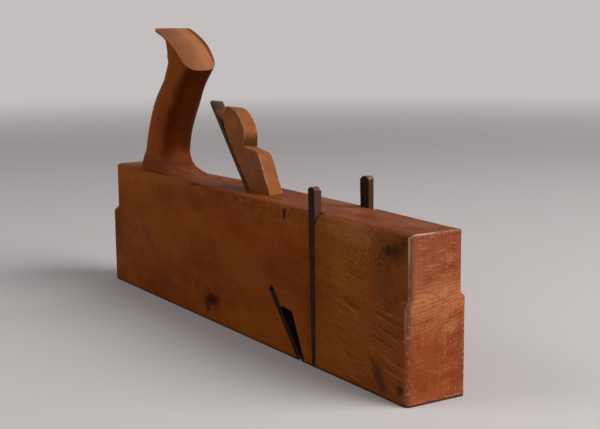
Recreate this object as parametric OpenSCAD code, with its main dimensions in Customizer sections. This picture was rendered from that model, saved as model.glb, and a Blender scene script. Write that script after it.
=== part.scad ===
// A wooden rabbet plane with an open handle, a skewed iron held by a wedge, and a nicker
// let into each side ahead of the mouth. The stock stands on its sole: +X runs towards the
// toe, +Y to the plane's left and +Z up. The origin is the middle of the sole.

/* [Stock] */
// Length of the stock from heel to toe
stock_length = 368; // [345:1:400]
// Width of the stock, which is the width of the cut
stock_width = 37.5; // [35:0.5:42]
// Height of the stock from the sole to its top
stock_height = 89; // [84:1:96]
// Radius that softens the upright corners
corner_round = 1.2; // [0.6:0.1:1.8]
// Radius of the most worn upright corner, on the right at the toe
worn_corner_round = 2.8; // [1:0.1:3.4]
// Length along the side of the chamfer at each upper corner
chamfer_run = 10; // [6:0.5:16]
// Depth of that chamfer at the toe, on the right
toe_right_chamfer = 1.9; // [1.9:0.1:4.5]
// Depth of that chamfer at the toe, on the left
toe_left_chamfer = 3.1; // [1.9:0.1:4.5]
// Depth of those chamfers at the heel
heel_chamfer = 4; // [1.9:0.1:4.5]
// Height above the sole at which the chamfers stop
chamfer_stop = 53; // [40:1:65]
// Rounding of the long top edges at the heel, where the hand lies
heel_round = 8.5; // [5:0.1:9]
// Rounding of the long top edges beside the wedge
waist_round = 1.8; // [1:0.1:3]
// Rounding of the long top edges at the toe
toe_round = 5.5; // [3:0.1:7]

/* [Bed and throat] */
// Pitch of the bed above the sole
bed_pitch = 48.6; // [45:0.1:52]
// Skew of the bed, with the right side leading
skew = 15; // [8:0.5:18]
// Distance from the toe back to the bed, along the middle of the sole
toe_to_bed = 108.7; // [105:0.1:116]
// Width of the mortise for the wedge and the shank of the iron
mortise_width = 11.4; // [9:0.1:14]
// Slot for the wide blade, measured square to the bed
slot_depth = 4.45; // [4.4:0.05:5]
// Length of that slot, up the bed from the sole
slot_length = 45.5; // [44:0.5:50]
// Opening of the mouth ahead of the blade, square to the bed
mouth_gap = 0.5; // [0.3:0.05:1.2]
// Height of the throat above the iron, on the right side
right_throat = 8.5; // [6:0.1:11]
// Length of the throat up the bed, on the right side
right_throat_length = 29; // [24:0.5:33]
// Radius of the wide throat on the left side, where the shavings leave
left_throat_radius = 12; // [9:0.5:14]
// Distance of that radius's centre up the bed
left_throat_length = 30; // [26:0.5:34]
// Distance of the throat's front corner below its top, on the right side
throat_corner = 6.5; // [4:0.5:9]

/* [Iron] */
// Thickness of the iron at its cutting edge
edge_thickness = 4.3; // [3.6:0.05:4.35]
// Thickness of the iron at its top
top_thickness = 2.9; // [2.2:0.05:3.4]
// Width of the shank
shank_width = 9.1; // [7:0.1:10.8]
// Length of the full-width blade up from the mouth
blade_length = 42.5; // [38:0.5:43.5]
// Length of the shank above the stock, along the bed
shank_rise = 68.7; // [60:0.1:80]
// Angle of the ground bevel
bevel_angle = 28; // [25:0.5:32]

/* [Wedge] */
// Angle between the two faces of the wedge
wedge_angle = 12.3; // [10:0.1:14]
// Thickness of the wedge at its tip
wedge_tip = 3.5; // [3:0.1:4.5]
// Distance of the tip from the sole, up the bed
wedge_tip_height = 31; // [28:0.5:36]
// Side clearance of the wedge in its mortise
wedge_clearance = 0.15; // [0.1:0.05:0.3]
// Height of the wedge's shoulder above the stock, along the bed
shoulder_rise = 8.6; // [6:0.1:12]
// Length of the wedge's head above the shoulder
head_length = 46; // [40:0.5:52]
// Depth of the notch under the head
notch_depth = 10; // [7:0.1:12]

/* [Nickers] */
// Distance from the toe back to the front edge of the right nicker
toe_to_nicker = 84.6; // [80:0.1:87]
// How far the left nicker stands ahead of the right one
nicker_lead = 3.6; // [0:0.1:5]
// Thickness of a nicker
nicker_thickness = 4; // [3:0.1:4.8]
// Width of a nicker at the sole
nicker_sole_width = 3.8; // [3:0.1:4.6]
// Width of a nicker at the top of the stock
nicker_top_width = 6.5; // [5.5:0.1:7.5]
// Height of the right nicker above the stock
right_nicker_rise = 14; // [9:0.5:20]
// Height of the left nicker above the stock
left_nicker_rise = 18; // [9:0.5:24]
// Undercut angle of the dovetailed grooves
dovetail_angle = 12; // [8:0.5:15]
// Clearance round a nicker in its groove
nicker_clearance = 0.1; // [0.05:0.05:0.2]

/* [Handle] */
// Distance from the heel to the middle of the handle's foot
heel_to_handle = 58; // [54:0.5:64]
// Full thickness of the handle at the tip of its horn
handle_thickness = 28.4; // [26:0.1:30]
// Thickness of the handle where it is gripped
grip_thickness = 26.8; // [24:0.1:28]
// Height of the horn's tip above the stock
horn_rise = 100; // [96:0.5:104]
// Depth of the handle's tenon in the stock
tenon_depth = 20; // [14:0.5:26]
// Length of the tenon
tenon_length = 44; // [36:0.5:46]
// Width of the tenon
tenon_width = 22; // [18:0.5:24]
// Glue line round the tenon
glue_line = 0.1; // [0.05:0.05:0.2]

/* [Hidden] */
$fn = 64;

beech = [0.60, 0.30, 0.13];
dark_beech = [0.48, 0.20, 0.09];
pale_beech = [0.74, 0.46, 0.22];
steel = [0.30, 0.27, 0.26];
dark_steel = [0.17, 0.13, 0.12];

// Room for a cutter to pass through a face, and a length well past the whole plane
past = 2;
far = 400;
// Air left between the iron and its bed, and between the wedge and the two faces it jams
seat_gap = 0.05;

toe = stock_length / 2;
heel = -stock_length / 2;
side = stock_width / 2;
bed_x = toe - toe_to_bed;
roll = -atan(tan(skew) * sin(bed_pitch));
// Distance up the bed at which it leaves the top of the stock
top_along = stock_height / sin(bed_pitch);

// Place along the bed at which a surface so far above it, and so far across, meets the sole
function sole_along(above, across) =
    (above * cos(roll) + across * sin(roll)) / tan(bed_pitch);
// Thickness of the iron at a place along the bed
iron_taper = (edge_thickness - top_thickness) / (top_along + shank_rise);
function iron_front(along) = seat_gap + edge_thickness + along * iron_taper;
// Height of the wedge's front face above the bed
function wedge_front(along) = iron_front(-wedge_tip_height) + wedge_tip
    - (along + wedge_tip_height) * tan(wedge_angle);

// A smooth curve through points, with so many steps between each two
function blend(a, b, c, d, t) = 0.5 * (2 * b + (c - a) * t + (2 * a - 5 * b + 4 * c - d) * t * t
    + (3 * b - a - 3 * c + d) * t * t * t);
function curve(p, steps) = [
    for (i = [0 : len(p) - 2], k = [0 : steps - 1])
        blend(p[max(i - 1, 0)], p[i], p[i + 1], p[min(i + 2, len(p) - 1)], k / steps),
    p[len(p) - 1]];

// A closed skin over rings of points that all have the same count
module skin(rings) {
    count = len(rings[0]);
    last = len(rings) - 1;
    polyhedron(
        points = [for (ring = rings) for (p = ring) p],
        faces = [
            [for (i = [count - 1 : -1 : 0]) i],
            for (j = [0 : last - 1], i = [0 : count - 1])
                [j * count + i, j * count + (i + 1) % count,
                 (j + 1) * count + (i + 1) % count, (j + 1) * count + i],
            [for (i = [0 : count - 1]) last * count + i]],
        convexity = 4);
}

// The bed's own frame: x runs down the bed, y across it and z square to it
module on_bed() {
    translate([bed_x, 0, 0]) rotate([0, bed_pitch, 0]) rotate([roll, 0, 0]) children();
}

// A profile drawn in the bed's x and z, drawn out across the plane and trimmed to a width,
// which can lie off the middle of the stock
module across_bed(profile, width, middle = 0) {
    intersection() {
        on_bed() rotate([90, 0, 0]) linear_extrude(height = 4 * stock_width, center = true)
            polygon(profile);
        translate([-far, middle - width / 2, -far]) cube([2 * far, width, 2 * far]);
    }
}

// Rounding of the long top edges, which changes along the stock: full beside the handle,
// least beside the wedge and fuller again at the toe
beside_handle = heel + 75;
beside_wedge = -25;
behind_toe = toe - 75;
at_toe = toe - 20;
function edge_round(x) = lookup(x, [
    [beside_handle, heel_round], [beside_wedge, waist_round],
    [behind_toe, waist_round], [at_toe, toe_round]]);

// What the rounding takes off one long top edge
module long_edge_cut() {
    arc_steps = 7;
    stations = [heel - past, for (x = [beside_handle : 14 : beside_wedge]) x, beside_wedge,
                for (x = [behind_toe : 11 : at_toe]) x, toe + past];
    skin([for (x = stations) let (r = edge_round(x)) concat(
        [[x, side + past, stock_height + past], [x, side + past, stock_height - r]],
        [for (k = [0 : arc_steps]) let (a = 90 * k / arc_steps)
            [x, side - r + r * cos(a), stock_height - r + r * sin(a)]],
        [[x, side - r, stock_height + past]])]);
}

// A stopped chamfer on an upper corner, cut upwards from its slanted stop and eased where it
// meets the end of the stock
module corner_chamfer_cut(depth, round) {
    turn = atan(chamfer_run / depth);
    reach = chamfer_run * cos(turn);
    difference() {
        translate([toe - chamfer_run, side, 0]) rotate([0, 0, turn]) rotate([90, 0, 0])
            linear_extrude(height = far, center = true) polygon([
                [-round, chamfer_stop + reach + round],
                [2 * reach, chamfer_stop - reach],
                [2 * reach, stock_height + past], [-round, stock_height + past]]);
        linear_extrude(height = stock_height + 2 * past) offset(round)
            offset(delta = -round) polygon([[0, 0], [toe, 0],
                [toe, side - depth], [toe - chamfer_run, side], [0, side]]);
    }
}

module solid_block() {
    linear_extrude(height = stock_height) hull() for (x = [-1, 1], y = [-1, 1])
        let (r = x > 0 && y < 0 ? worn_corner_round : corner_round)
            translate([x * (toe - r), y * (side - r)]) circle(r);
}

// The throat: a small opening on the right that widens to a round-topped one on the left
module throat_cut() {
    wall_angle = atan(right_throat
        / (right_throat_length - throat_corner + sole_along(slot_depth, -side)));
    // The cut runs out past both sides at the full height of the throat
    half = side / cos(roll) + (slot_depth + right_throat) * tan(-roll) + past;
    right_foot = sole_along(slot_depth, -side) + mouth_gap / tan(wall_angle);
    left_reach = left_throat_length + sole_along(slot_depth, side);
    left_angle = 2 * atan(left_throat_radius / left_reach);
    left_foot = sole_along(slot_depth, side) + mouth_gap / tan(left_angle);
    on_bed() hull() {
        translate([0, -half, 0]) rotate([90, 0, 0]) linear_extrude(height = 0.02) polygon([
            [right_foot, slot_depth], [-right_throat_length, slot_depth],
            [right_foot - right_throat / tan(wall_angle), slot_depth + right_throat]]);
        translate([0, half, 0]) rotate([90, 0, 0]) linear_extrude(height = 0.02) {
            translate([-left_throat_length, slot_depth + left_throat_radius])
                circle(left_throat_radius, $fn = 32);
            translate([left_foot - 0.02, slot_depth]) square(0.02);
        }
    }
}

// The slot that the wide blade fills, and the narrow mortise for its shank and the wedge
module bed_cut() {
    below = stock_width;
    across_bed([[-slot_length, 0], [below, 0], [below, slot_depth], [-slot_length, slot_depth]],
        stock_width + 2 * past);
    above = top_along + 2 * stock_width;
    // The mortise opens into the slot and the throat a little below the wedge's tip
    lowest = slot_length / 3;
    lead_in = wedge_tip_height - 6;
    across_bed([[-lowest, 0], [-lowest, slot_depth],
        [-lead_in, wedge_front(-lead_in) + seat_gap],
        [-above, wedge_front(-above) + seat_gap], [-above, 0]], mortise_width);
}

// A nicker's dovetailed strip on the left side, with its front edge at x = 0 and the side of
// the stock at y = 0, inwards being -y; grow widens it all round to make the groove
module nicker_strip(grow, outward, bottom, top) {
    depth = nicker_thickness + grow;
    rake = tan(dovetail_angle);
    lean = atan((nicker_top_width - nicker_sole_width) / stock_height);
    intersection() {
        translate([0, 0, bottom]) linear_extrude(height = top - bottom) polygon([
            [grow - outward * rake, outward], [-far, outward],
            [-far, -depth], [grow + depth * rake, -depth]]);
        translate([-nicker_sole_width - grow, 0, 0]) rotate([0, -lean, 0])
            linear_extrude(height = 2 * far, center = true) polygon([
                [outward * rake, outward], [far, outward], [far, -depth], [-depth * rake, -depth]]);
    }
}

// Puts something drawn on the left side at its place, on one side or the other
module at_nicker(left) {
    x = toe - toe_to_nicker + (left ? nicker_lead : 0);
    mirror([0, left ? 0 : 1, 0]) translate([x, side, 0]) children();
}

// A groove, with the flared mouth at its top that lets the nicker be tapped back out
module nicker_groove() {
    flare_width = 6;
    flare_height = 7;
    nicker_strip(nicker_clearance, past, -past, stock_height + past);
    translate([0, past, 0]) rotate([90, 0, 0])
        linear_extrude(height = nicker_thickness + nicker_clearance + past)
            polygon([[-1, stock_height - flare_height], [0, stock_height - flare_height],
                [flare_width * (1 + past / flare_height), stock_height + past],
                [-1, stock_height + past]]);
}

module tenon(grow, depth) {
    r = 4;
    translate([heel + heel_to_handle, 0, stock_height - depth]) linear_extrude(height = depth + past / 2) {
        square([tenon_length + 2 * grow, tenon_width - 2 * r + 2 * grow], center = true);
        square([tenon_length - 2 * r + 2 * grow, tenon_width + 2 * grow], center = true);
        for (x = [-1, 1], y = [-1, 1])
            translate([x * (tenon_length / 2 - r), y * (tenon_width / 2 - r)]) circle(r + grow);
    }
}

module stock() {
    color(beech) difference() {
        solid_block();
        for (y = [0, 1]) mirror([0, y, 0]) {
            long_edge_cut();
            if (y == 0) corner_chamfer_cut(toe_left_chamfer, corner_round);
            else corner_chamfer_cut(toe_right_chamfer, worn_corner_round);
            mirror([1, 0, 0]) corner_chamfer_cut(heel_chamfer, corner_round);
        }
        bed_cut();
        throat_cut();
        for (left = [true, false]) at_nicker(left) nicker_groove();
        tenon(glue_line, tenon_depth + glue_line);
    }
}

// The handle's lines, drawn for a horn that rises 100 and scaled to the real one: forward of
// the foot's middle, against the height above the stock
drawn_rise = 100;
handle_scale = horn_rise / drawn_rise;
handle_back = [[-26, 0], [-21, 12], [-14, 30], [-3.5, 49], [11.5, 64], [22.5, 75], [29, 83.5],
               [30, 88], [28.5, 92.5], [24, 95.2], [17.5, 97], [13, 98.4], [12, 100.5], [12, 104]];
handle_front = [[28, 0], [24.5, 3], [22, 8], [21.5, 14], [26, 30], [39.5, 50], [49, 64], [61, 76],
                [86, 104]];
// Line of the flat crown from behind the horn's tip down to below its front edge
crown = [[2, 102.8], [8, 102.2], [12.5, 101], [16, 99.8], [22, 97.7], [29, 94.9], [38, 90.4],
         [46, 84.9], [53, 78.2], [59, 71.6], [66, 62]];
// Levels of the handle's rings, closer at its foot and in its horn
levels = [0, 2, 4, 7, 10, for (h = [14 : 4 : 82]) h, for (h = [85 : 2 : 93]) h,
          for (h = [94.5 : 1.5 : 104]) h];

// Reads a curve's first value where its second one reaches a height
function reach_at(line, h) = lookup(h, [for (p = line) [p[1], p[0]]]);
function power(c, n) = sign(c) * pow(abs(c), 2 / n);

// Level rings up the handle: nearly square at the foot, oval in the grip, and square at the
// back of the horn, which is also its widest place
module handle_grip() {
    sides = 36;
    back = curve(handle_back, 6);
    front = curve(handle_front, 6);
    skin([for (h = levels) let (
        b = reach_at(back, h), f = reach_at(front, h),
        half = lookup(h, [[0, grip_thickness / 2 + glue_line], [12, grip_thickness / 2],
            [50, grip_thickness / 2], [74, handle_thickness / 2 - 1.2], [90, handle_thickness / 2]]),
        flare = lookup(h, [[50, 0], [74, 0.04], [90, 0.08]]),
        square_front = lookup(h, [[0, 4], [14, 2.3], [60, 2.3], [74, 3.1]]),
        square_back = lookup(h, [[0, 4], [14, 2.3], [66, 2.3], [78, 4], [88, 14]]))
        [for (i = [0 : sides - 1]) let (
            c = cos(360 * i / sides), s = -sin(360 * i / sides),
            n = c > 0 ? square_front : square_back)
            [((b + f) / 2 + (f - b) / 2 * power(c, n)) * handle_scale,
             half * (1 - flare * (1 + power(c, n))) * power(s, n), h * handle_scale]]]);
}

module handle() {
    line = curve(crown, 4);
    color(dark_beech) {
        translate([heel + heel_to_handle, 0, stock_height]) intersection() {
            handle_grip();
            rotate([90, 0, 0]) linear_extrude(height = 2 * stock_width, center = true)
                scale(handle_scale) polygon(concat(line,
                    [[line[len(line) - 1][0], -past], [-stock_width, -past],
                     [-stock_width, line[0][1]]]));
        }
        tenon(0, tenon_depth);
    }
}

module iron() {
    top = -top_along - shank_rise;
    edge = sole_along(edge_thickness + seat_gap, 0);
    // The cutting edge lies along the sole, so it crosses the iron at a slant
    slant = -atan(sin(roll) / tan(bed_pitch));
    bevel = edge_thickness / tan(bevel_angle);
    // The shank lies against the right wall of the mortise
    shank_middle = (shank_width - mortise_width) / 2 + wedge_clearance;
    joined = 1 - blade_length;
    blade_end = bevel + past;
    color(steel) difference() {
        union() {
            across_bed([[top, seat_gap], [joined, seat_gap],
                [joined, iron_front(joined)], [top, iron_front(top)]], shank_width, shank_middle);
            across_bed([[-blade_length, seat_gap], [blade_end, seat_gap],
                [blade_end, iron_front(blade_end)], [-blade_length, iron_front(-blade_length)]],
                stock_width);
        }
        on_bed() translate([edge, 0, edge_thickness + seat_gap]) rotate([0, 0, slant])
            rotate([90, 0, 0]) linear_extrude(height = 3 * stock_width, center = true) polygon([
                [0, past], [0, 0], [-bevel * 1.5, -edge_thickness * 1.5],
                [stock_width, -edge_thickness * 1.5], [stock_width, past]]);
    }
}

module wedge() {
    shoulder = -top_along - shoulder_rise;
    notch = shoulder - notch_depth * 1.2;
    end = shoulder - head_length;
    chamfer = shoulder_rise * 0.7;
    lip = wedge_front(shoulder + chamfer);
    foot = -wedge_tip_height;
    tip_round = wedge_tip / 3;
    // The head from the notch over its round top and down its back to the iron, in shares of
    // its length
    u = head_length / 100;
    head = curve([[notch - 6.5 * u, lip - notch_depth + 5 * u], [notch - 15 * u, lip - 8.7 * u],
        [notch - 33 * u, lip - 5.7 * u], [notch - 52 * u, lip - 9.3 * u],
        [end + 7.4 * u, lip - 19 * u], [end, lip - 32 * u],
        [end + 6.5 * u, iron_front(end) + 8.7 * u], [end + 26 * u, iron_front(end) + 2.2 * u],
        [end + 50 * u, iron_front(end + 50 * u) + seat_gap]], 5);
    profile = concat(
        [[foot, iron_front(foot) + seat_gap], [foot + 2 * tip_round, wedge_front(foot) - tip_round],
         [foot, wedge_front(foot)], [shoulder + chamfer, lip],
         [shoulder + chamfer * 0.4, lip + chamfer / 30], [shoulder, lip - chamfer / 15],
         [notch, lip - notch_depth]],
        head);
    color(pale_beech) across_bed(profile, mortise_width - 2 * wedge_clearance);
}

module nicker(rise) {
    crown = nicker_top_width * 0.8;
    knife_height = 7;
    // The knife edge rests this far above the sole
    edge_set = 0.2;
    top = stock_height + rise;
    intersection() {
        nicker_strip(0, 0, edge_set, top);
        union() {
            translate([-nicker_top_width / 2, far / 2, top - crown]) rotate([90, 0, 0])
                cylinder(r = crown, h = far);
            translate([-far / 2, -far / 2, 0]) cube([far, far, top - crown]);
        }
        // Ground on its inner face to a knife edge flush with the side
        rotate([90, 0, 90]) linear_extrude(height = far, center = true) polygon([
            [past, 0], [0, 0], [-nicker_thickness - past, knife_height * 1.5],
            [-nicker_thickness - past, far], [past, far]]);
    }
}

module right_nicker() {
    color(dark_steel) at_nicker(false) nicker(right_nicker_rise);
}

module left_nicker() {
    color(dark_steel) at_nicker(true) nicker(left_nicker_rise);
}

stock();
handle();
iron();
wedge();
right_nicker();
left_nicker();
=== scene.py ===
from math import cos, radians, sin

import bmesh
import bpy
from mathutils import Matrix, Vector


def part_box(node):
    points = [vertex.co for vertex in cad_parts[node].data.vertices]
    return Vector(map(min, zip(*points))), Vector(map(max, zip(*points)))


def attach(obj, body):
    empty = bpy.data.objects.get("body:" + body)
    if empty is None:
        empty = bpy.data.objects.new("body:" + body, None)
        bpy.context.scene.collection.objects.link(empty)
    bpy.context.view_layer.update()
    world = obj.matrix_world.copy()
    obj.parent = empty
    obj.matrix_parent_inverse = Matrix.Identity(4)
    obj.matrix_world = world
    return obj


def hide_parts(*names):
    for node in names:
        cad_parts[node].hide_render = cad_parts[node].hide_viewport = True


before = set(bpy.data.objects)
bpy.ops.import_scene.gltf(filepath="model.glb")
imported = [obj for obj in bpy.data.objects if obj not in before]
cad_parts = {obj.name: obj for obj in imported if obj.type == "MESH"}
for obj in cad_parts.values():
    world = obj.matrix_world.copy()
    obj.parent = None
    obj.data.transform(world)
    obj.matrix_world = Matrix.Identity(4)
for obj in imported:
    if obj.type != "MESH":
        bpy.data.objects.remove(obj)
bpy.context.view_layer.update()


# Stock
# The body of the plane: one piece of old beech, planed square, with the bed, the throat and
# the two nicker grooves cut by hand. Long use has rounded its top edges and darkened it.
mm = 0.001
toe_x, side_y, stock_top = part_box("stock")[1]
half_width, stock_height = side_y / mm, stock_top / mm


def cad_copy(node):
    """A merged copy of a CAD node's mesh, with its flat faces made whole again."""
    bm = bmesh.new()
    bm.from_mesh(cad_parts[node].data)
    bmesh.ops.remove_doubles(bm, verts=bm.verts, dist=0.002 * mm)
    bmesh.ops.dissolve_limit(bm, angle_limit=radians(0.5), verts=bm.verts, edges=bm.edges)
    return bm


def ease(bm, width, chosen, sharper=25, steps=2):
    """Rounds the sharp edges that chosen() picks by their middle, and marks them as worn."""
    worn = bm.faces.layers.float.get("worn") or bm.faces.layers.float.new("worn")
    edges = [edge for edge in bm.edges if edge.is_manifold and edge.is_convex
             and edge.calc_face_angle(0) > radians(sharper)
             and chosen((edge.verts[0].co + edge.verts[1].co) / 2)]
    new = bmesh.ops.bevel(bm, geom=edges, offset=width, offset_type="OFFSET", segments=steps,
                          profile=0.5, affect="EDGES", clamp_overlap=True, material=-1)
    for face in new["faces"]:
        if face.is_valid:
            face[worn] = 1.0


def finish_piece(bm, name, material, body, node):
    """Makes the mesh a piece that stands for its CAD node and moves with its body."""
    # Round stretches are shaded smooth, while the large faces beside them stay flat
    round_stretch = radians(38)
    normals = []
    for face in bm.faces:
        face.smooth = True
        for vert in face.verts:
            near = [other for other in vert.link_faces
                    if other.normal.angle(face.normal, 0) < round_stretch]
            total = sum((other.normal * other.calc_area() for other in near), Vector())
            normals.append(total.normalized() if total.length > 0 else face.normal.copy())
    mesh = bpy.data.meshes.new(name)
    bm.to_mesh(mesh)
    bm.free()
    mesh.normals_split_custom_set(normals)
    mesh.materials.append(material)
    piece = bpy.data.objects.new(name, mesh)
    bpy.context.scene.collection.objects.link(piece)
    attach(piece, body)
    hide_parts(node)


class Finish:
    """A material being mixed, with a short call for each kind of node. Lengths are in mm."""

    def __init__(self, name):
        self.material = bpy.data.materials.new(name)
        self.material.use_nodes = True
        self.tree = self.material.node_tree
        self.shader = self.tree.nodes["Principled BSDF"]
        place = self.add("ShaderNodeTexCoord")
        self.facing = self.split(place.outputs["Normal"])
        self.place = self.add("ShaderNodeVectorMath", {0: place.outputs["Object"], 3: 1 / mm},
                              operation="SCALE").outputs[0]
        self.x, self.y, self.z = self.split(self.place)

    def add(self, kind, inputs=(), **settings):
        node = self.tree.nodes.new(kind)
        for key, value in settings.items():
            setattr(node, key, value)
        for key, value in dict(inputs).items():
            if isinstance(value, bpy.types.NodeSocket):
                self.tree.links.new(value, node.inputs[key])
            else:
                node.inputs[key].default_value = value
        return node

    def split(self, vector):
        return self.add("ShaderNodeSeparateXYZ", {0: vector}).outputs

    def join(self, x, y, z):
        return self.add("ShaderNodeCombineXYZ", {0: x, 1: y, 2: z}).outputs[0]

    def length(self, vector):
        return self.add("ShaderNodeVectorMath", {0: vector}, operation="LENGTH").outputs["Value"]

    def math(self, operation, first, second=0.0, third=0.0):
        return self.add("ShaderNodeMath", {0: first, 1: second, 2: third},
                        operation=operation).outputs[0]

    def times(self, first, *others):
        for other in others:
            first = self.math("MULTIPLY", first, other)
        return first

    def plus(self, first, *others):
        for other in others:
            first = self.math("ADD", first, other)
        return first

    def minus(self, first, second):
        return self.math("SUBTRACT", first, second)

    def over(self, first, second):
        return self.math("DIVIDE", first, second)

    def most(self, first, second):
        return self.math("MAXIMUM", first, second)

    def absolute(self, value):
        return self.math("ABSOLUTE", value)

    def shifted(self, value, by, share):
        """A value with a share of another one added, such as a noise that makes it uneven."""
        return self.math("MULTIPLY_ADD", by, share, value)

    def between(self, value, low, high, to_low=0.0, to_high=1.0):
        """Changes smoothly from to_low to to_high as its input goes from low to high."""
        inputs = {"Value": value, "From Min": low, "From Max": high, "To Min": to_low,
                  "To Max": to_high}
        return self.add("ShaderNodeMapRange", inputs,
                        interpolation_type="SMOOTHSTEP").outputs["Result"]

    def noise(self, vector, scale, detail=3.0, roughness=0.5, distortion=0.0):
        inputs = {"Vector": vector, "Scale": scale, "Detail": detail, "Roughness": roughness,
                  "Distortion": distortion}
        return self.add("ShaderNodeTexNoise", inputs).outputs["Fac"]

    def drawn_out(self, share, scale, detail=3.0, roughness=0.5):
        """Noise drawn out along the plane, as only a share of the length counts in it."""
        return self.noise(self.join(self.times(self.x, share), self.y, self.z), scale, detail,
                          roughness)

    def ramp(self, value, *stops):
        """A curve of shades through (place, shade) stops, where a shade may be a colour."""
        node = self.add("ShaderNodeValToRGB", {0: value})
        points = node.color_ramp.elements
        while len(points) < len(stops):
            points.new(0.5)
        for point, (at, shade) in zip(points, stops):
            point.position = at
            point.color = (*shade, 1) if isinstance(shade, tuple) else (shade, shade, shade, 1)
        return node.outputs["Color"]

    def mix(self, factor, first, second):
        node = self.add("ShaderNodeMix", {0: factor}, data_type="RGBA")
        for socket, value in ((node.inputs[6], first), (node.inputs[7], second)):
            if isinstance(value, bpy.types.NodeSocket):
                self.tree.links.new(value, socket)
            else:
                socket.default_value = (*value, 1)
        return node.outputs[2]

    def tint(self, colour, shade, *amounts):
        """A colour with a shade laid over it, as strongly as the product of the amounts."""
        return self.mix(self.times(*amounts), colour, shade)

    def spot(self, centre, radii, turn=0.0, ragged=0.5, on="side"):
        """1 in the middle of a ragged oval mark on a side, the top or an end, 0 at its rim."""
        level, height = {"side": (self.x, self.z), "top": (self.x, self.y),
                         "end": (self.y, self.z)}[on]
        across, up = self.minus(level, centre[0]), self.minus(height, centre[1])
        turn_cos, turn_sin = cos(radians(turn)), sin(radians(turn))
        long_way = self.plus(self.times(across, turn_cos), self.times(up, turn_sin))
        short_way = self.minus(self.times(up, turn_cos), self.times(across, turn_sin))
        distance = self.length(self.join(self.over(long_way, radii[0]),
                                         self.over(short_way, radii[1]), 0.0))
        rag = self.noise(self.place, 0.35, 4)
        return self.between(self.shifted(self.minus(distance, ragged), rag, ragged * 2), 1.0, 0.3)

    def worn(self):
        """1 on the edges that ease() rounded, 0 elsewhere."""
        return self.add("ShaderNodeAttribute", attribute_name="worn").outputs["Fac"]

    def bump(self, height, strength, depth, under=None):
        inputs = {"Height": height, "Strength": strength, "Distance": depth * mm}
        if under is not None:
            inputs["Normal"] = under
        return self.add("ShaderNodeBump", inputs).outputs["Normal"]

    def finish(self, colour, roughness, normal, **constants):
        for name, output in (("Base Color", colour), ("Roughness", roughness),
                             ("Normal", normal)):
            self.tree.links.new(output, self.shader.inputs[name])
        for key, value in constants.items():
            self.shader.inputs[key.replace("_", " ")].default_value = value
        return self.material


wood = Finish("old_beech")
toward_end, toward_side = wood.absolute(wood.facing[0]), wood.absolute(wood.facing[1])
end_face = wood.between(toward_end, 0.55, 0.85)
side_face = wood.minus(1.0, end_face)
top_face = wood.between(wood.facing[2], 0.5, 0.9)
ahead = wood.between(wood.x, 98.0, 118.0)
height = wood.over(wood.z, stock_height)

# The grain runs along the stock, dips by 7 degrees ahead of the mouth and wanders a little. On
# the toe its rings lie nearly level at the top and foot and rise to the left between them.
dip = wood.times(wood.most(wood.minus(wood.x, 95.0), 0.0), 0.12)
wander = wood.drawn_out(0.2, 0.025, 2)
level = wood.plus(wood.z, dip, wood.times(wander, 9.0))
tilt = wood.ramp(height, (0.0, 0.53), (0.3, 0.6), (0.55, 0.72), (0.8, 0.45), (1.0, 0.4))
lean = wood.times(wood.minus(tilt, 0.5), 0.9, wood.y)
ring_spacing = 1.9
ring = wood.math("FRACT", wood.over(wood.minus(level, lean), ring_spacing))
ring_line = wood.ramp(ring, (0.0, 0.0), (0.16, 0.75), (0.36, 1.0), (0.64, 1.0), (0.84, 0.75),
                      (1.0, 0.0))
ring_strength = wood.ramp(height, (0.05, 0.2), (0.36, 0.35), (0.48, 1.0), (0.64, 1.0), (0.75, 0.55),
                          (1.0, 0.35))
ring_strength = wood.most(ring_strength, wood.between(wood.y, 2.0, 11.0, 0.0, 0.75))
broken = wood.noise(wood.join(wood.x, wood.times(wood.y, 0.7), level), 0.28, 3)
ring_strength = wood.times(ring_strength, wood.between(broken, 0.38, 0.6, 0.1, 1.0))

blotch = wood.drawn_out(0.4, 0.03)
patch = wood.drawn_out(0.7, 0.1)
colour = wood.ramp(blotch, (0.3, (0.14, 0.027, 0.002)), (0.5, (0.175, 0.037, 0.003)),
                   (0.7, (0.215, 0.053, 0.004)))
colour = wood.tint(colour, (0.13, 0.025, 0.003), wood.between(patch, 0.52, 0.75, 0.0, 0.4))
colour = wood.tint(colour, (0.215, 0.058, 0.008), wood.between(patch, 0.48, 0.28, 0.0, 0.35))
# Ahead of the mouth the sides are yellower, and greyer again near the toe
colour = wood.tint(colour, (0.215, 0.06, 0.009), ahead,
                   wood.between(wood.x, 165.0, 140.0, 0.1, 0.6))
colour = wood.tint(colour, (0.145, 0.043, 0.011), wood.between(wood.x, 130.0, 178.0, 0.0, 0.5))
# The top is duller and faded in streaks
faded = wood.drawn_out(0.08, 0.3, 4, 0.6)
colour = wood.tint(colour, (0.115, 0.029, 0.01), top_face, 0.75)
colour = wood.tint(colour, (0.18, 0.055, 0.021), top_face, wood.between(faded, 0.5, 0.65, 0.0, 0.5))
colour = wood.tint(colour, (0.11, 0.026, 0.009), top_face,
                   wood.between(faded, 0.48, 0.35, 0.0, 0.5))
# Streaks along the grain, mostly in the lower half of the stock ahead of the mouth
lengthwise = wood.join(wood.times(wood.x, 0.06), wood.times(wood.y, 0.5), level)
streak = wood.noise(lengthwise, 0.55, 3, 0.55)
streaked = wood.times(ahead, wood.between(wood.z, 66.0, 48.0, 0.25, 1.0),
                      wood.between(wood.noise(wood.place, 0.05, 2), 0.38, 0.55))
streaked = wood.times(wood.most(streaked, 0.18), side_face)
colour = wood.tint(colour, (0.29, 0.098, 0.022), streaked,
                   wood.between(streak, 0.53, 0.68, 0.0, 0.6))
colour = wood.tint(colour, (0.09, 0.023, 0.004), streaked,
                   wood.between(streak, 0.48, 0.34, 0.0, 0.65))
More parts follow.
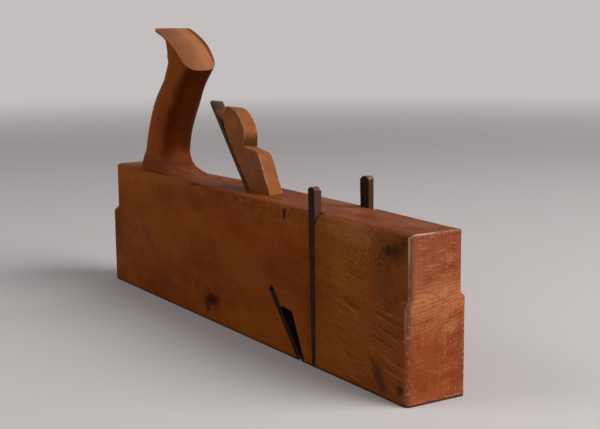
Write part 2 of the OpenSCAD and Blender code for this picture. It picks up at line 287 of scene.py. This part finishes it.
# Short dashes are the ends of rays, which show along the sides and top
fleck = wood.noise(wood.join(wood.times(wood.x, 0.16), wood.times(wood.y, 0.8), level), 1.1, 2, 0.6)
dashes = wood.times(side_face, wood.between(wood.x, 60.0, 120.0, 0.2, 0.7))
colour = wood.tint(colour, (0.28, 0.092, 0.028), dashes, wood.between(fleck, 0.6, 0.68, 0.0, 0.5))
colour = wood.tint(colour, (0.07, 0.017, 0.004), dashes, wood.between(fleck, 0.4, 0.32))

# The end grain: a paler band at half height, ring lines, and fine upright rays across them
end_colour = wood.ramp(height, (0.03, (0.22, 0.056, 0.019)), (0.12, (0.18, 0.038, 0.012)),
                       (0.34, (0.2, 0.043, 0.013)), (0.53, (0.29, 0.086, 0.03)),
                       (0.63, (0.35, 0.12, 0.048)), (0.74, (0.21, 0.055, 0.022)),
                       (1.0, (0.19, 0.049, 0.024)))
band = wood.noise(wood.join(0.0, wood.times(wood.y, 0.35), wood.minus(level, lean)), 0.2, 3, 0.6)
end_colour = wood.tint(end_colour, (0.14, 0.028, 0.009), wood.between(band, 0.52, 0.64, 0.0, 0.5))
end_colour = wood.tint(end_colour, (0.31, 0.1, 0.04), wood.between(band, 0.47, 0.36, 0.0, 0.7),
                       wood.between(wood.z, 30.0, 52.0, 0.45, 1.0))
end_colour = wood.tint(end_colour, (0.075, 0.014, 0.005), wood.minus(1.0, ring_line),
                       ring_strength, 0.8)
rays = wood.noise(wood.join(0.0, wood.y, wood.times(wood.z, 0.06)), 0.75, 3, 0.6)
end_colour = wood.tint(end_colour, (0.34, 0.12, 0.046), wood.between(rays, 0.5, 0.68, 0.0, 0.16))
end_colour = wood.tint(end_colour, (0.12, 0.025, 0.009), wood.between(rays, 0.46, 0.32, 0.0, 0.22))
pale_specks = wood.between(wood.noise(wood.place, 0.9, 2, 0.6), 0.66, 0.72, 0.0, 0.6)
end_colour = wood.tint(end_colour, (0.42, 0.18, 0.08), pale_specks)
dark_dots = wood.between(wood.noise(wood.place, 1.1, 2, 0.6), 0.38, 0.32, 0.0, 0.6)
end_colour = wood.tint(end_colour, (0.07, 0.014, 0.006), dark_dots)
# Patches on the toe, each as (y, z), radii, turn, shade and strength
toe_face = wood.between(wood.x, 100.0, 150.0)
worn_through = wood.between(wood.noise(wood.place, 0.55, 4, 0.65), 0.4, 0.6, 0.25, 1.0)
for centre, radii, turn, shade, strength in (
        ((-5.3, 18.0), (8.0, 14.0), 0, (0.2, 0.041, 0.012), 0.65),
        ((15.4, 35.0), (3.6, 13.0), 0, (0.14, 0.03, 0.011), 0.75),
        ((14.0, 11.0), (4.5, 9.0), 0, (0.15, 0.031, 0.011), 0.6),
        ((-12.5, 66.0), (6.0, 11.0), 0, (0.265, 0.082, 0.039), 0.6),
        ((8.7, 38.5), (5.5, 3.8), 0, (0.38, 0.14, 0.066), 0.7),
        ((7.5, 17.4), (9.0, 2.8), 8, (0.32, 0.092, 0.036), 0.6)):
    end_colour = wood.tint(end_colour, shade, wood.spot(centre, radii, turn, 0.7, on="end"),
                           toe_face, worn_through, strength)
# A faint upright scratch crosses the toe's rings
scratch = wood.shifted(wood.minus(wood.y, 7.2), wander, 3.0)
scratch = wood.times(wood.between(wood.absolute(scratch), 0.9, 0.1), worn_through, toe_face,
                     wood.between(wood.z, 18.0, 28.0), wood.between(wood.z, 66.0, 58.0))
end_colour = wood.tint(end_colour, (0.38, 0.145, 0.066), scratch, 0.4)
# Beside the upper part of the right arris the end is bruised, with a painted sheen, to a dull
# pinkish brown
bruise_and_sheen = wood.plus(wood.y, wood.between(wood.z, 55.0, 51.0, 0.0, 1.9))
bruise_and_sheen = wood.shifted(bruise_and_sheen, wood.noise(wood.place, 0.3, 3), 2.0)
end_colour = wood.tint(end_colour, (0.165, 0.055, 0.028),
                       wood.between(bruise_and_sheen, -11.5, -14.5, 0.0, 0.75),
                       wood.between(wood.z, 26.0, 44.0, 0.15, 1.0))
colour = wood.mix(end_face, colour, end_colour)

# Marks on the right side: a knot, bruises, a nick in the edge and a smudge above the sole,
# each as (x, z), radii, turn, shade and strength
right_side = wood.between(wood.facing[1], -0.3, -0.7)
for centre, radii, turn, shade, strength in (
        ((-27.0, 14.5), (18.0, 9.0), 0, (0.095, 0.016, 0.003), 0.75),
        ((-25.5, 15.0), (12.0, 5.6), 10, (0.022, 0.006, 0.003), 0.95),
        ((-31.0, 8.5), (6.0, 4.6), 0, (0.045, 0.009, 0.002), 0.85),
        ((66.5, 84.0), (5.5, 2.4), 59, (0.015, 0.003, 0.001), 0.98),
        ((171.0, 78.0), (17.0, 9.0), 10, (0.07, 0.024, 0.006), 0.75),
        ((170.0, 79.0), (10.0, 3.8), 5, (0.022, 0.009, 0.003), 0.8),
        ((179.0, 84.0), (7.0, 4.0), 45, (0.05, 0.02, 0.007), 0.7),
        ((166.0, 60.0), (20.0, 14.0), -60, (0.1, 0.031, 0.008), 0.5),
        ((124.0, 62.0), (10.0, 22.0), 10, (0.235, 0.07, 0.009), 0.5),
        # A pale stripe under the top edge ahead of the mouth is worn and holds a painted highlight
        ((132.0, 84.0), (30.0, 10.0), -4, (0.26, 0.09, 0.023), 0.7),
        ((159.0, 12.0), (14.0, 6.0), -55, (0.06, 0.017, 0.008), 0.8),
        ((178.0, 8.0), (4.5, 4.0), 0, (0.04, 0.012, 0.005), 0.8),
        ((-100.0, 50.0), (40.0, 26.0), -10, (0.22, 0.058, 0.005), 0.5),
        ((10.0, 45.0), (44.0, 20.0), -15, (0.215, 0.056, 0.005), 0.5),
        ((95.0, 40.0), (7.0, 40.0), 0, (0.1, 0.021, 0.003), 0.6),
        ((140.0, 57.0), (12.0, 5.0), 20, (0.2, 0.045, 0.012), 0.5),
        ((-172.0, 5.0), (14.0, 10.0), 0, (0.11, 0.025, 0.005), 0.6),
        ((-180.0, 48.0), (22.0, 34.0), 0, (0.105, 0.022, 0.002), 0.6),
        ((-126.0, 45.0), (9.0, 6.0), 0, (0.12, 0.025, 0.004), 0.6),
        ((-46.0, 77.0), (26.0, 8.0), 0, (0.12, 0.026, 0.005), 0.55)):
    colour = wood.tint(colour, shade, wood.spot(centre, radii, turn), right_side, strength)
# Marks on the top, each as (x, y), radii, shade and strength: a dark patch and a red one
# behind the toe, a faded one at the toe, a reddish far edge, and grime round the mortise
for centre, radii, shade, strength in (
        ((129.0, -3.0), (17.0, 6.0), (0.1, 0.028, 0.008), 0.8),
        ((105.0, 4.0), (20.0, 12.0), (0.19, 0.048, 0.026), 0.8),
        ((162.0, 6.0), (16.0, 9.0), (0.185, 0.067, 0.023), 0.7),
        # The reddish far edge is partly painted light, lifting the shadow of the far nicker and
        # wedge
        ((78.0, 13.0), (36.0, 7.0), (0.21, 0.062, 0.034), 0.8),
        ((-22.0, 0.0), (34.0, 13.0), (0.09, 0.02, 0.01), 0.4)):
    colour = wood.tint(colour, shade, wood.spot(centre, radii, on="top"), top_face, strength)
# The rounded edges round the handle are yellower, worn clean by the hand and with a painted
# highlight
colour = wood.tint(colour, (0.18, 0.052, 0.006), wood.between(wood.facing[2], 0.05, 0.5),
                   wood.between(wood.x, -60.0, -110.0), wood.between(patch, 0.3, 0.6, 0.9, 0.6))
# Pale dings with dark hearts, and scratches, lie along the right top edge
dent = wood.noise(wood.place, 0.28, 3, 0.65)
ding = wood.times(wood.between(dent, 0.57, 0.6), wood.between(dent, 0.66, 0.62))
curl = wood.absolute(wood.minus(wood.noise(wood.place, 0.22, 2, 0.5, 0.6), 0.5))
curl = wood.times(wood.between(curl, 0.035, 0.01),
                  wood.between(wood.noise(wood.place, 0.16, 3), 0.47, 0.56))
ding_zone = wood.times(wood.between(wood.z, 76.0, 80.0), wood.between(wood.x, -15.0, 15.0),
                       wood.between(wood.x, 168.0, 150.0), right_side)
colour = wood.tint(colour, (0.27, 0.105, 0.045), wood.most(wood.times(ding, 0.7), curl),
                   ding_zone, 0.5)
colour = wood.tint(colour, (0.075, 0.018, 0.006), wood.between(dent, 0.63, 0.67), ding_zone, 0.7)
# Ahead of the mouth the surface there is also rough, with fine pale and dark specks
rough_zone = wood.times(wood.between(wood.x, 112.0, 128.0), wood.between(wood.x, 176.0, 158.0),
                        wood.between(wood.z, 56.0, 72.0), right_side,
                        wood.between(wood.noise(wood.place, 0.09, 3), 0.42, 0.56, 0.2, 1.0))
speck = wood.noise(wood.place, 0.5, 4, 0.75)
colour = wood.tint(colour, (0.3, 0.12, 0.045), rough_zone,
                   wood.between(speck, 0.55, 0.63, 0.0, 0.55))
colour = wood.tint(colour, (0.08, 0.018, 0.007), rough_zone,
                   wood.between(speck, 0.46, 0.38, 0.0, 0.65))
# The upright corners are rubbed and carry a painted sheen, a dull pinkish grey which fades out
# towards the sole
below_chamfer = wood.times(wood.between(toward_end, 0.04, 0.2), wood.between(wood.z, 52.0, 50.0))
corner = wood.times(wood.most(wood.between(toward_end, 0.34, 0.45), below_chamfer),
                    wood.between(toward_side, 0.15, 0.3))
rubbed = wood.between(wood.noise(wood.place, 0.25, 4, 0.65), 0.35, 0.6)
rubbed_and_sheen_shade = wood.mix(rubbed, (0.2, 0.08, 0.05), (0.3, 0.14, 0.09))
rubbed_and_sheen_end_shade = wood.mix(rubbed, (0.13, 0.045, 0.024), (0.17, 0.062, 0.034))
rubbed_and_sheen_shade = wood.tint(rubbed_and_sheen_shade, rubbed_and_sheen_end_shade,
                         wood.between(toward_end, 0.45, 0.8, 0.0, 0.9))
rubbed_and_sheen_shade = wood.tint(rubbed_and_sheen_shade, (0.205, 0.052, 0.018),
                         wood.between(wood.z, 44.0, 26.0, 0.0, 0.85))
colour = wood.tint(colour, rubbed_and_sheen_shade, corner, 0.9)
# The right arris at the top of each end and the edge above it are chipped pale, and the edge
# carries a painted highlight
ragged = wood.times(wood.noise(wood.place, 0.45, 4, 0.7), 1.6)
knock = wood.times(wood.between(toward_end, 0.8, 0.55), corner, wood.between(wood.z, 68.0, 80.0),
                   wood.between(wood.facing[1], 0.0, -0.2))
edge = wood.times(end_face, wood.between(wood.plus(wood.z, ragged), 88.6, 89.2),
                  wood.between(wood.shifted(wood.y, ragged, 8.0), 8.0, -4.0, 0.25, 1.0))
colour = wood.tint(colour, (0.44, 0.25, 0.16), wood.most(knock, edge), 0.85)
# Small chips show pale along the arrises of both ends
off_middle = wood.absolute(wood.y)
near_side = wood.times(wood.between(wood.minus(half_width, off_middle), 2.6, 1.0),
                       wood.between(wood.z, 54.0, 50.0))
near_edge = wood.most(wood.most(wood.between(wood.z, 86.5, 88.2), wood.between(wood.z, 3.0, 1.4)),
                      near_side)
colour = wood.tint(colour, (0.44, 0.25, 0.15), near_edge, wood.between(toward_end, 0.3, 0.6),
                   wood.between(wood.noise(wood.place, 0.75, 3, 0.7), 0.55, 0.62), 0.7)
# The edges that are rounded in the mesh are the palest
colour = wood.tint(colour, (0.5, 0.27, 0.15), wood.worn(),
                   wood.between(rubbed, 0.2, 0.8, 0.45, 1.0))
# A painted contact shadow darkens the last millimetre above the sole
colour = wood.tint(colour, (0.02, 0.006, 0.003), wood.between(wood.z, 1.8, 0.8, 0.0, 0.85))
# Inside the throat, the mortise and the grooves the wood is dark with dirt and painted shade
inside_dirt_and_shade = wood.times(wood.between(off_middle, half_width - 0.2, half_width - 1.5),
                    wood.between(wood.z, 0.2, 1.0), wood.between(wood.z, 88.8, 87.5),
                    wood.between(wood.x, -60.0, -50.0), wood.between(wood.x, 112.0, 107.0))
colour = wood.tint(colour, (0.008, 0.003, 0.0015), inside_dirt_and_shade, 0.95)
relief = wood.plus(wood.times(ring_line, end_face, 0.5), wood.times(fleck, 0.4),
                   wood.times(rays, end_face, 0.5))
normal = wood.bump(relief, 0.5, 0.1, wood.bump(wood.noise(wood.place, 0.07, 3), 0.25, 0.6))
shine = wood.plus(wood.between(patch, 0.3, 0.7, 0.45, 0.6), wood.times(end_face, 0.1))
old_beech = wood.finish(colour, shine, normal, Specular_IOR_Level=0.02)


def end_edge(point):
    return abs(point.x) > toe_x - 0.3 * mm and point.z > stock_top - 7 * mm


def sole_edge(point):
    at_rim = abs(point.y) > side_y - 3 * mm or abs(point.x) > toe_x - 3 * mm
    return point.z < 0.3 * mm and at_rim


bm = cad_copy("stock")
ease(bm, 0.9 * mm, end_edge)
ease(bm, 0.6 * mm, sole_edge)
finish_piece(bm, "worn_stock", old_beech, "stock", "stock")


# Handle
# The open handle, sawn from a beech board, rounded with a rasp and glued into the stock by
# its tenon. The hand has polished it dark red-brown and worn the flat crown pale.
wood = Finish("polished_beech")
grain_lean = radians(28)
along = wood.plus(wood.times(wood.x, sin(grain_lean)), wood.times(wood.z, cos(grain_lean)))
across = wood.minus(wood.times(wood.x, cos(grain_lean)), wood.times(wood.z, sin(grain_lean)))
streak = wood.noise(wood.join(wood.times(along, 0.08), across, wood.y), 0.35, 4, 0.55)
cloud = wood.noise(wood.place, 0.045, 3, 0.55)
colour = wood.ramp(cloud, (0.32, (0.165, 0.036, 0.004)), (0.5, (0.2, 0.047, 0.006)),
                   (0.7, (0.235, 0.064, 0.01)))
colour = wood.tint(colour, (0.125, 0.028, 0.006), wood.between(streak, 0.35, 0.65, 0.0, 0.35))
# The front faces are painted darker as shade, and the front below the crown is darker
# still, most of all on its left
uneven = wood.math("MULTIPLY_ADD", wood.noise(wood.place, 0.12, 4), 0.5, -0.25)
grip_shade = wood.mix(wood.between(wood.facing[1], -0.45, 0.35), (0.08, 0.0125, 0.001),
                      (0.036, 0.0055, 0.0004))
colour = wood.tint(colour, (0.1, 0.02, 0.004), wood.between(wood.facing[0], 0.2, 0.6, 0.0, 0.8))
colour = wood.tint(colour, grip_shade, wood.between(wood.plus(wood.facing[0], uneven), 0.28, 0.6),
                   wood.between(wood.shifted(wood.z, uneven, 40.0), 98.0, 112.0), 0.92)
# The crown is pale, duller towards its right and brighter towards its left, with a dark rim
crown = wood.times(wood.between(wood.facing[2], 0.22, 0.75), wood.between(wood.z, 150.0, 158.0),
                   wood.between(wood.x, -121.0, -113.0))
crown_shade = wood.ramp(cloud, (0.3, (0.17, 0.062, 0.026)), (0.65, (0.24, 0.092, 0.039)))
crown_shade = wood.tint(crown_shade, (0.135, 0.05, 0.023),
                        wood.between(wood.y, 4.0, -12.0, 0.0, 0.75))
crown_shade = wood.tint(crown_shade, (0.29, 0.112, 0.046),
                        wood.between(wood.shifted(wood.y, uneven, 12.0), -1.0, 5.0, 0.0, 0.7))
crown_shade = wood.tint(crown_shade, (0.11, 0.032, 0.012),
                        wood.between(wood.shifted(wood.y, uneven, 6.0), 9.5, 12.0))
colour = wood.mix(crown, colour, crown_shade)
foot_shade = wood.mix(wood.between(cloud, 0.4, 0.6), (0.1, 0.021, 0.006), (0.13, 0.032, 0.012))
# The foot's front faces are painted darker as shade
foot_shade = wood.tint(foot_shade, (0.06, 0.0135, 0.005), wood.between(wood.facing[0], 0.2, 0.6))
colour = wood.tint(colour, foot_shade, wood.between(wood.z, 106.0, 91.0, 0.0, 0.75))
# Where the foot runs out along the stock it is faded in streaks like the stock's top
faded = wood.drawn_out(0.08, 0.3, 4, 0.6)
run_shade = wood.ramp(faded, (0.38, (0.09, 0.023, 0.009)), (0.5, (0.112, 0.03, 0.012)),
                      (0.62, (0.145, 0.043, 0.018)))
colour = wood.tint(colour, run_shade, wood.between(wood.z, 97.0, 90.0),
                   wood.between(wood.x, -108.0, -97.0), 0.95)
shine = wood.plus(wood.between(cloud, 0.3, 0.7, 0.48, 0.6), wood.times(crown, 0.1))
normal = wood.bump(streak, 0.2, 0.1, wood.bump(cloud, 0.3, 0.8))
polished_beech = wood.finish(colour, shine, normal, Specular_IOR_Level=0.02)

bm = cad_copy("handle")
# The front of the foot runs out along the stock's top in a thin hollow curve
run_height, run_length, run_hollow = 14 * mm, 18 * mm, 4.1
side_start, front_start = -112 * mm, -104 * mm
tenon_side, tenon_front, slack = 11.5 * mm, -103.9 * mm, 0.1 * mm
for vert in bm.verts:
    rise = vert.co.z - stock_top
    share = min(max((vert.co.x - side_start) / (front_start - side_start), 0), 1)
    on_tenon = abs(rise) < slack and abs(vert.co.y) < tenon_side and vert.co.x < tenon_front
    if -slack < rise < run_height and not on_tenon:
        vert.co.x += run_length * min(1 - rise / run_height, 1) ** run_hollow * share
bm.normal_update()
ease(bm, 2.2 * mm, lambda point: point.z > 150 * mm, sharper=38, steps=4)
finish_piece(bm, "worn_handle", polished_beech, "stock", "handle")


# Iron
# The T-shaped blade, forged of iron with a steel edge welded on, as wide as the stock at its
# foot. It beds on the wood and is held by the wedge. Its top is battered by the hammer.
metal = Finish("forged_iron")
pitch = radians(48.6)
along = metal.minus(metal.times(metal.z, sin(pitch)), metal.times(metal.x, cos(pitch)))
lengthwise = metal.join(metal.times(along, 0.05), metal.y, metal.times(metal.x, 0.3))
scratch = metal.noise(lengthwise, 1.4, 3)
stain = metal.noise(metal.place, 0.12, 4, 0.6)
colour = metal.ramp(stain, (0.35, (0.03, 0.013, 0.008)), (0.55, (0.052, 0.024, 0.016)),
                    (0.75, (0.045, 0.018, 0.009)))
colour = metal.tint(colour, (0.1, 0.064, 0.052), metal.between(scratch, 0.5, 0.7, 0.0, 0.3))
rust = metal.between(metal.noise(metal.place, 0.3, 4, 0.65), 0.5, 0.65)
colour = metal.tint(colour, (0.09, 0.033, 0.014), rust, 0.6)
# Inside the stock it is painted nearly black as shade, and only its edge at the sole is brighter
colour = metal.tint(colour, (0.012, 0.004, 0.0015), metal.between(metal.z, 70.0, 45.0, 0.0, 0.95))
colour = metal.tint(colour, (0.1, 0.075, 0.066), metal.between(metal.z, 3.0, 1.0, 0.0, 0.5))
colour = metal.tint(colour, (0.2, 0.14, 0.12), metal.worn(), 0.6)
normal = metal.bump(stain, 0.35, 0.12, metal.bump(scratch, 0.2, 0.05))
forged_iron = metal.finish(colour, metal.between(stain, 0.3, 0.7, 0.42, 0.62), normal,
                           Metallic=0.15, Specular_IOR_Level=0.05)

bm = cad_copy("iron")
ease(bm, 0.25 * mm, lambda point: point.z > 3 * mm)
finish_piece(bm, "battered_iron", forged_iron, "iron", "iron")


# Wedge
# The beech wedge that jams the iron on its bed, as wide as the mortise, with a rounded head
# and a notch for tapping it loose. It is newer and paler than the stock.
wood = Finish("pale_beech")
along = wood.minus(wood.times(wood.z, sin(pitch)), wood.times(wood.x, cos(pitch)))
deep = wood.plus(wood.times(wood.x, sin(pitch)), wood.times(wood.z, cos(pitch)))
streak = wood.noise(wood.join(wood.times(along, 0.07), wood.y, deep), 0.55, 4, 0.55)
cloud = wood.noise(wood.place, 0.09, 3)
colour = wood.ramp(cloud, (0.32, (0.15, 0.045, 0.012)), (0.5, (0.19, 0.06, 0.016)),
                   (0.68, (0.23, 0.08, 0.021)))
colour = wood.tint(colour, (0.14, 0.04, 0.009), wood.between(streak, 0.4, 0.65, 0.0, 0.25))
# The front is chafed in patches, and cleaner near the stock
front = wood.between(wood.facing[0], 0.3, 0.7)
chafed = wood.noise(wood.place, 0.16, 3, 0.5)
colour = wood.tint(colour, (0.19, 0.065, 0.026), front, wood.between(chafed, 0.45, 0.6, 0.3, 0.7))
colour = wood.tint(colour, (0.135, 0.036, 0.015), front, wood.between(chafed, 0.46, 0.34, 0.0, 0.6))
colour = wood.tint(colour, (0.2, 0.062, 0.012), front, wood.between(wood.z, 104.0, 91.0, 0.0, 0.7))
pits = wood.between(wood.noise(wood.place, 0.4, 3), 0.6, 0.68, 0.0, 0.35)
colour = wood.tint(colour, (0.12, 0.035, 0.01), pits)
ragged = wood.between(wood.noise(wood.place, 0.28, 4, 0.7), 0.42, 0.6, 0.05, 0.85)
colour = wood.tint(colour, (0.38, 0.175, 0.078), wood.worn(), ragged)
# The underside of the head and the wall of the notch below it are painted dark as shade
notch_wall = wood.times(wood.between(wood.z, 126.0, 118.5), wood.between(wood.z, 115.4, 116.2),
                        wood.between(wood.facing[0], 0.2, 0.6))
notch_shade = wood.most(wood.between(wood.facing[2], -0.05, -0.3), notch_wall)
colour = wood.tint(colour, (0.045, 0.0125, 0.002), notch_shade, 0.9)
normal = wood.bump(streak, 0.3, 0.12, wood.bump(cloud, 0.3, 0.4))
pale_beech = wood.finish(colour, wood.between(cloud, 0.3, 0.7, 0.45, 0.58), normal,
                         Specular_IOR_Level=0.04)

bm = cad_copy("wedge")
ease(bm, 0.8 * mm, lambda point: True, sharper=50, steps=3)
finish_piece(bm, "worn_wedge", pale_beech, "wedge", "wedge")


# Nickers
# Two steel knives in dovetailed grooves, one in each side ahead of the mouth, which score the
# wood before the iron cuts it. They are forged dark, and rubbed on their fronts and tops, with
# a painted sheen on their fronts.
metal = Finish("browned_steel")
stain = metal.noise(metal.place, 0.2, 4, 0.6)
colour = metal.ramp(stain, (0.35, (0.016, 0.006, 0.003)), (0.7, (0.03, 0.012, 0.006)))
# A painted sheen on the fronts, pinkish on the right nicker and orange-brown on the left
front_rub_and_sheen = metal.mix(metal.between(metal.y, -5.0, 5.0), (0.085, 0.038, 0.031),
                        (0.056, 0.021, 0.009))
colour = metal.tint(colour, front_rub_and_sheen, metal.between(metal.facing[0], 0.3, 0.75), 0.8)
# Their tops are bright in spots from the hammer
hammered = metal.between(metal.noise(metal.place, 0.5, 3, 0.6), 0.42, 0.6, 0.2, 0.9)
colour = metal.tint(colour, (0.17, 0.12, 0.105), metal.between(metal.facing[2], 0.3, 0.7), hammered)
rust = metal.between(metal.noise(metal.place, 0.6, 3), 0.6, 0.68, 0.0, 0.5)
colour = metal.tint(colour, (0.06, 0.022, 0.01), rust)
# The pale worn edges, palest on the upper ones, are wear with a painted highlight
colour = metal.tint(colour, (0.24, 0.19, 0.17), metal.worn(),
                    metal.between(metal.noise(metal.place, 0.35, 3), 0.4, 0.6, 0.05, 0.8),
                    metal.between(metal.facing[2], 0.0, 0.35, 0.2, 1.0))
browned_steel = metal.finish(colour, metal.between(stain, 0.3, 0.7, 0.35, 0.5),
                             metal.bump(stain, 0.3, 0.1), Metallic=0.05, Specular_IOR_Level=0.03)

for node in ("right_nicker", "left_nicker"):
    bm = cad_copy(node)
    ease(bm, 0.35 * mm, lambda point: point.z > 10 * mm)
    finish_piece(bm, "dark_" + node, browned_steel, node, node)


# Studio
# A pale floor that fades into the background, a large soft lamp beyond the toe on the left and
# a weaker one behind the heel on the right, as daylight from two windows.
floor_tone, background, ambient_tone = (0.43, 0.405, 0.4), (0.55, 0.52, 0.515), (0.2, 0.195, 0.195)
floor_finish = Finish("pale_floor")
floor_finish.shader.inputs["Base Color"].default_value = (*floor_tone, 1)
floor_finish.shader.inputs["Roughness"].default_value = 0.9
far_off = floor_finish.between(floor_finish.length(floor_finish.place), 900.0, 2600.0)
clear = floor_finish.add("ShaderNodeBsdfTransparent")
fade = floor_finish.add("ShaderNodeMixShader", {0: far_off, 1: floor_finish.shader.outputs[0],
                                                2: clear.outputs[0]})
surface = floor_finish.tree.nodes["Material Output"].inputs["Surface"]
floor_finish.tree.links.new(fade.outputs[0], surface)
bm = bmesh.new()
bmesh.ops.create_circle(bm, cap_ends=True, segments=64, radius=3.0)
mesh = bpy.data.meshes.new("floor")
bm.to_mesh(mesh)
bm.free()
mesh.materials.append(floor_finish.material)
floor = bpy.data.objects.new("floor", mesh)
bpy.context.scene.collection.objects.link(floor)

# The camera and glossy rays see the background, and all other rays a dimmer even light
world = bpy.data.worlds.new("studio")
bpy.context.scene.world = world
world.use_nodes = True
sky = world.node_tree
sky.nodes.clear()
path = sky.nodes.new("ShaderNodeLightPath")
seen = sky.nodes.new("ShaderNodeBackground")
seen.inputs["Color"].default_value = (*background, 1)
ambient = sky.nodes.new("ShaderNodeBackground")
ambient.inputs["Color"].default_value = (*ambient_tone, 1)
seen_by = path.outputs["Is Camera Ray"]
for kind in ("Is Glossy Ray", "Is Transmission Ray"):
    either = sky.nodes.new("ShaderNodeMath")
    either.operation = "MAXIMUM"
    sky.links.new(seen_by, either.inputs[0])
    sky.links.new(path.outputs[kind], either.inputs[1])
    seen_by = either.outputs[0]
blend = sky.nodes.new("ShaderNodeMixShader")
world_output = sky.nodes.new("ShaderNodeOutputWorld")
sky.links.new(seen_by, blend.inputs[0])
sky.links.new(ambient.outputs[0], blend.inputs[1])
sky.links.new(seen.outputs[0], blend.inputs[2])
sky.links.new(blend.outputs[0], world_output.inputs["Surface"])


def lamp(name, place, size, power):
    """A round soft lamp that shines on the middle of the plane."""
    light = bpy.data.lights.new(name, "AREA")
    light.shape = "DISK"
    light.size = size
    light.energy = power
    obj = bpy.data.objects.new(name, light)
    obj.location = place
    middle = Vector((0, 0, 80 * mm))
    obj.rotation_euler = (middle - Vector(place)).to_track_quat("-Z", "Y").to_euler()
    bpy.context.scene.collection.objects.link(obj)


lamp("key_window", (1.32, 0.82, 1.1), 1.7, 57.0)
lamp("side_window", (-0.5, -1.35, 1.2), 1.1, 12.0)

# The camera stands ahead of the toe on the plane's right, a little above it
azimuth, elevation, roll = radians(58.033), radians(9.3384), radians(-0.516)
camera_place = (0.62756, -0.35788, 0.19129)
forward = -Vector((sin(azimuth) * cos(elevation), -cos(azimuth) * cos(elevation), sin(elevation)))
right = forward.cross(Vector((0, 0, 1))).normalized()
up = right.cross(forward)
axes = Matrix((cos(roll) * right + sin(roll) * up, cos(roll) * up - sin(roll) * right, -forward))
camera_data = bpy.data.cameras.new("camera")
camera_data.sensor_width = 36.0
camera_data.lens = 69.0
camera_data.clip_start = 0.01
camera = bpy.data.objects.new("camera", camera_data)
camera.matrix_world = Matrix.Translation(camera_place) @ axes.transposed().to_4x4()
bpy.context.scene.collection.objects.link(camera)
bpy.context.scene.camera = camera
bpy.context.scene.view_settings.view_transform = "Standard"
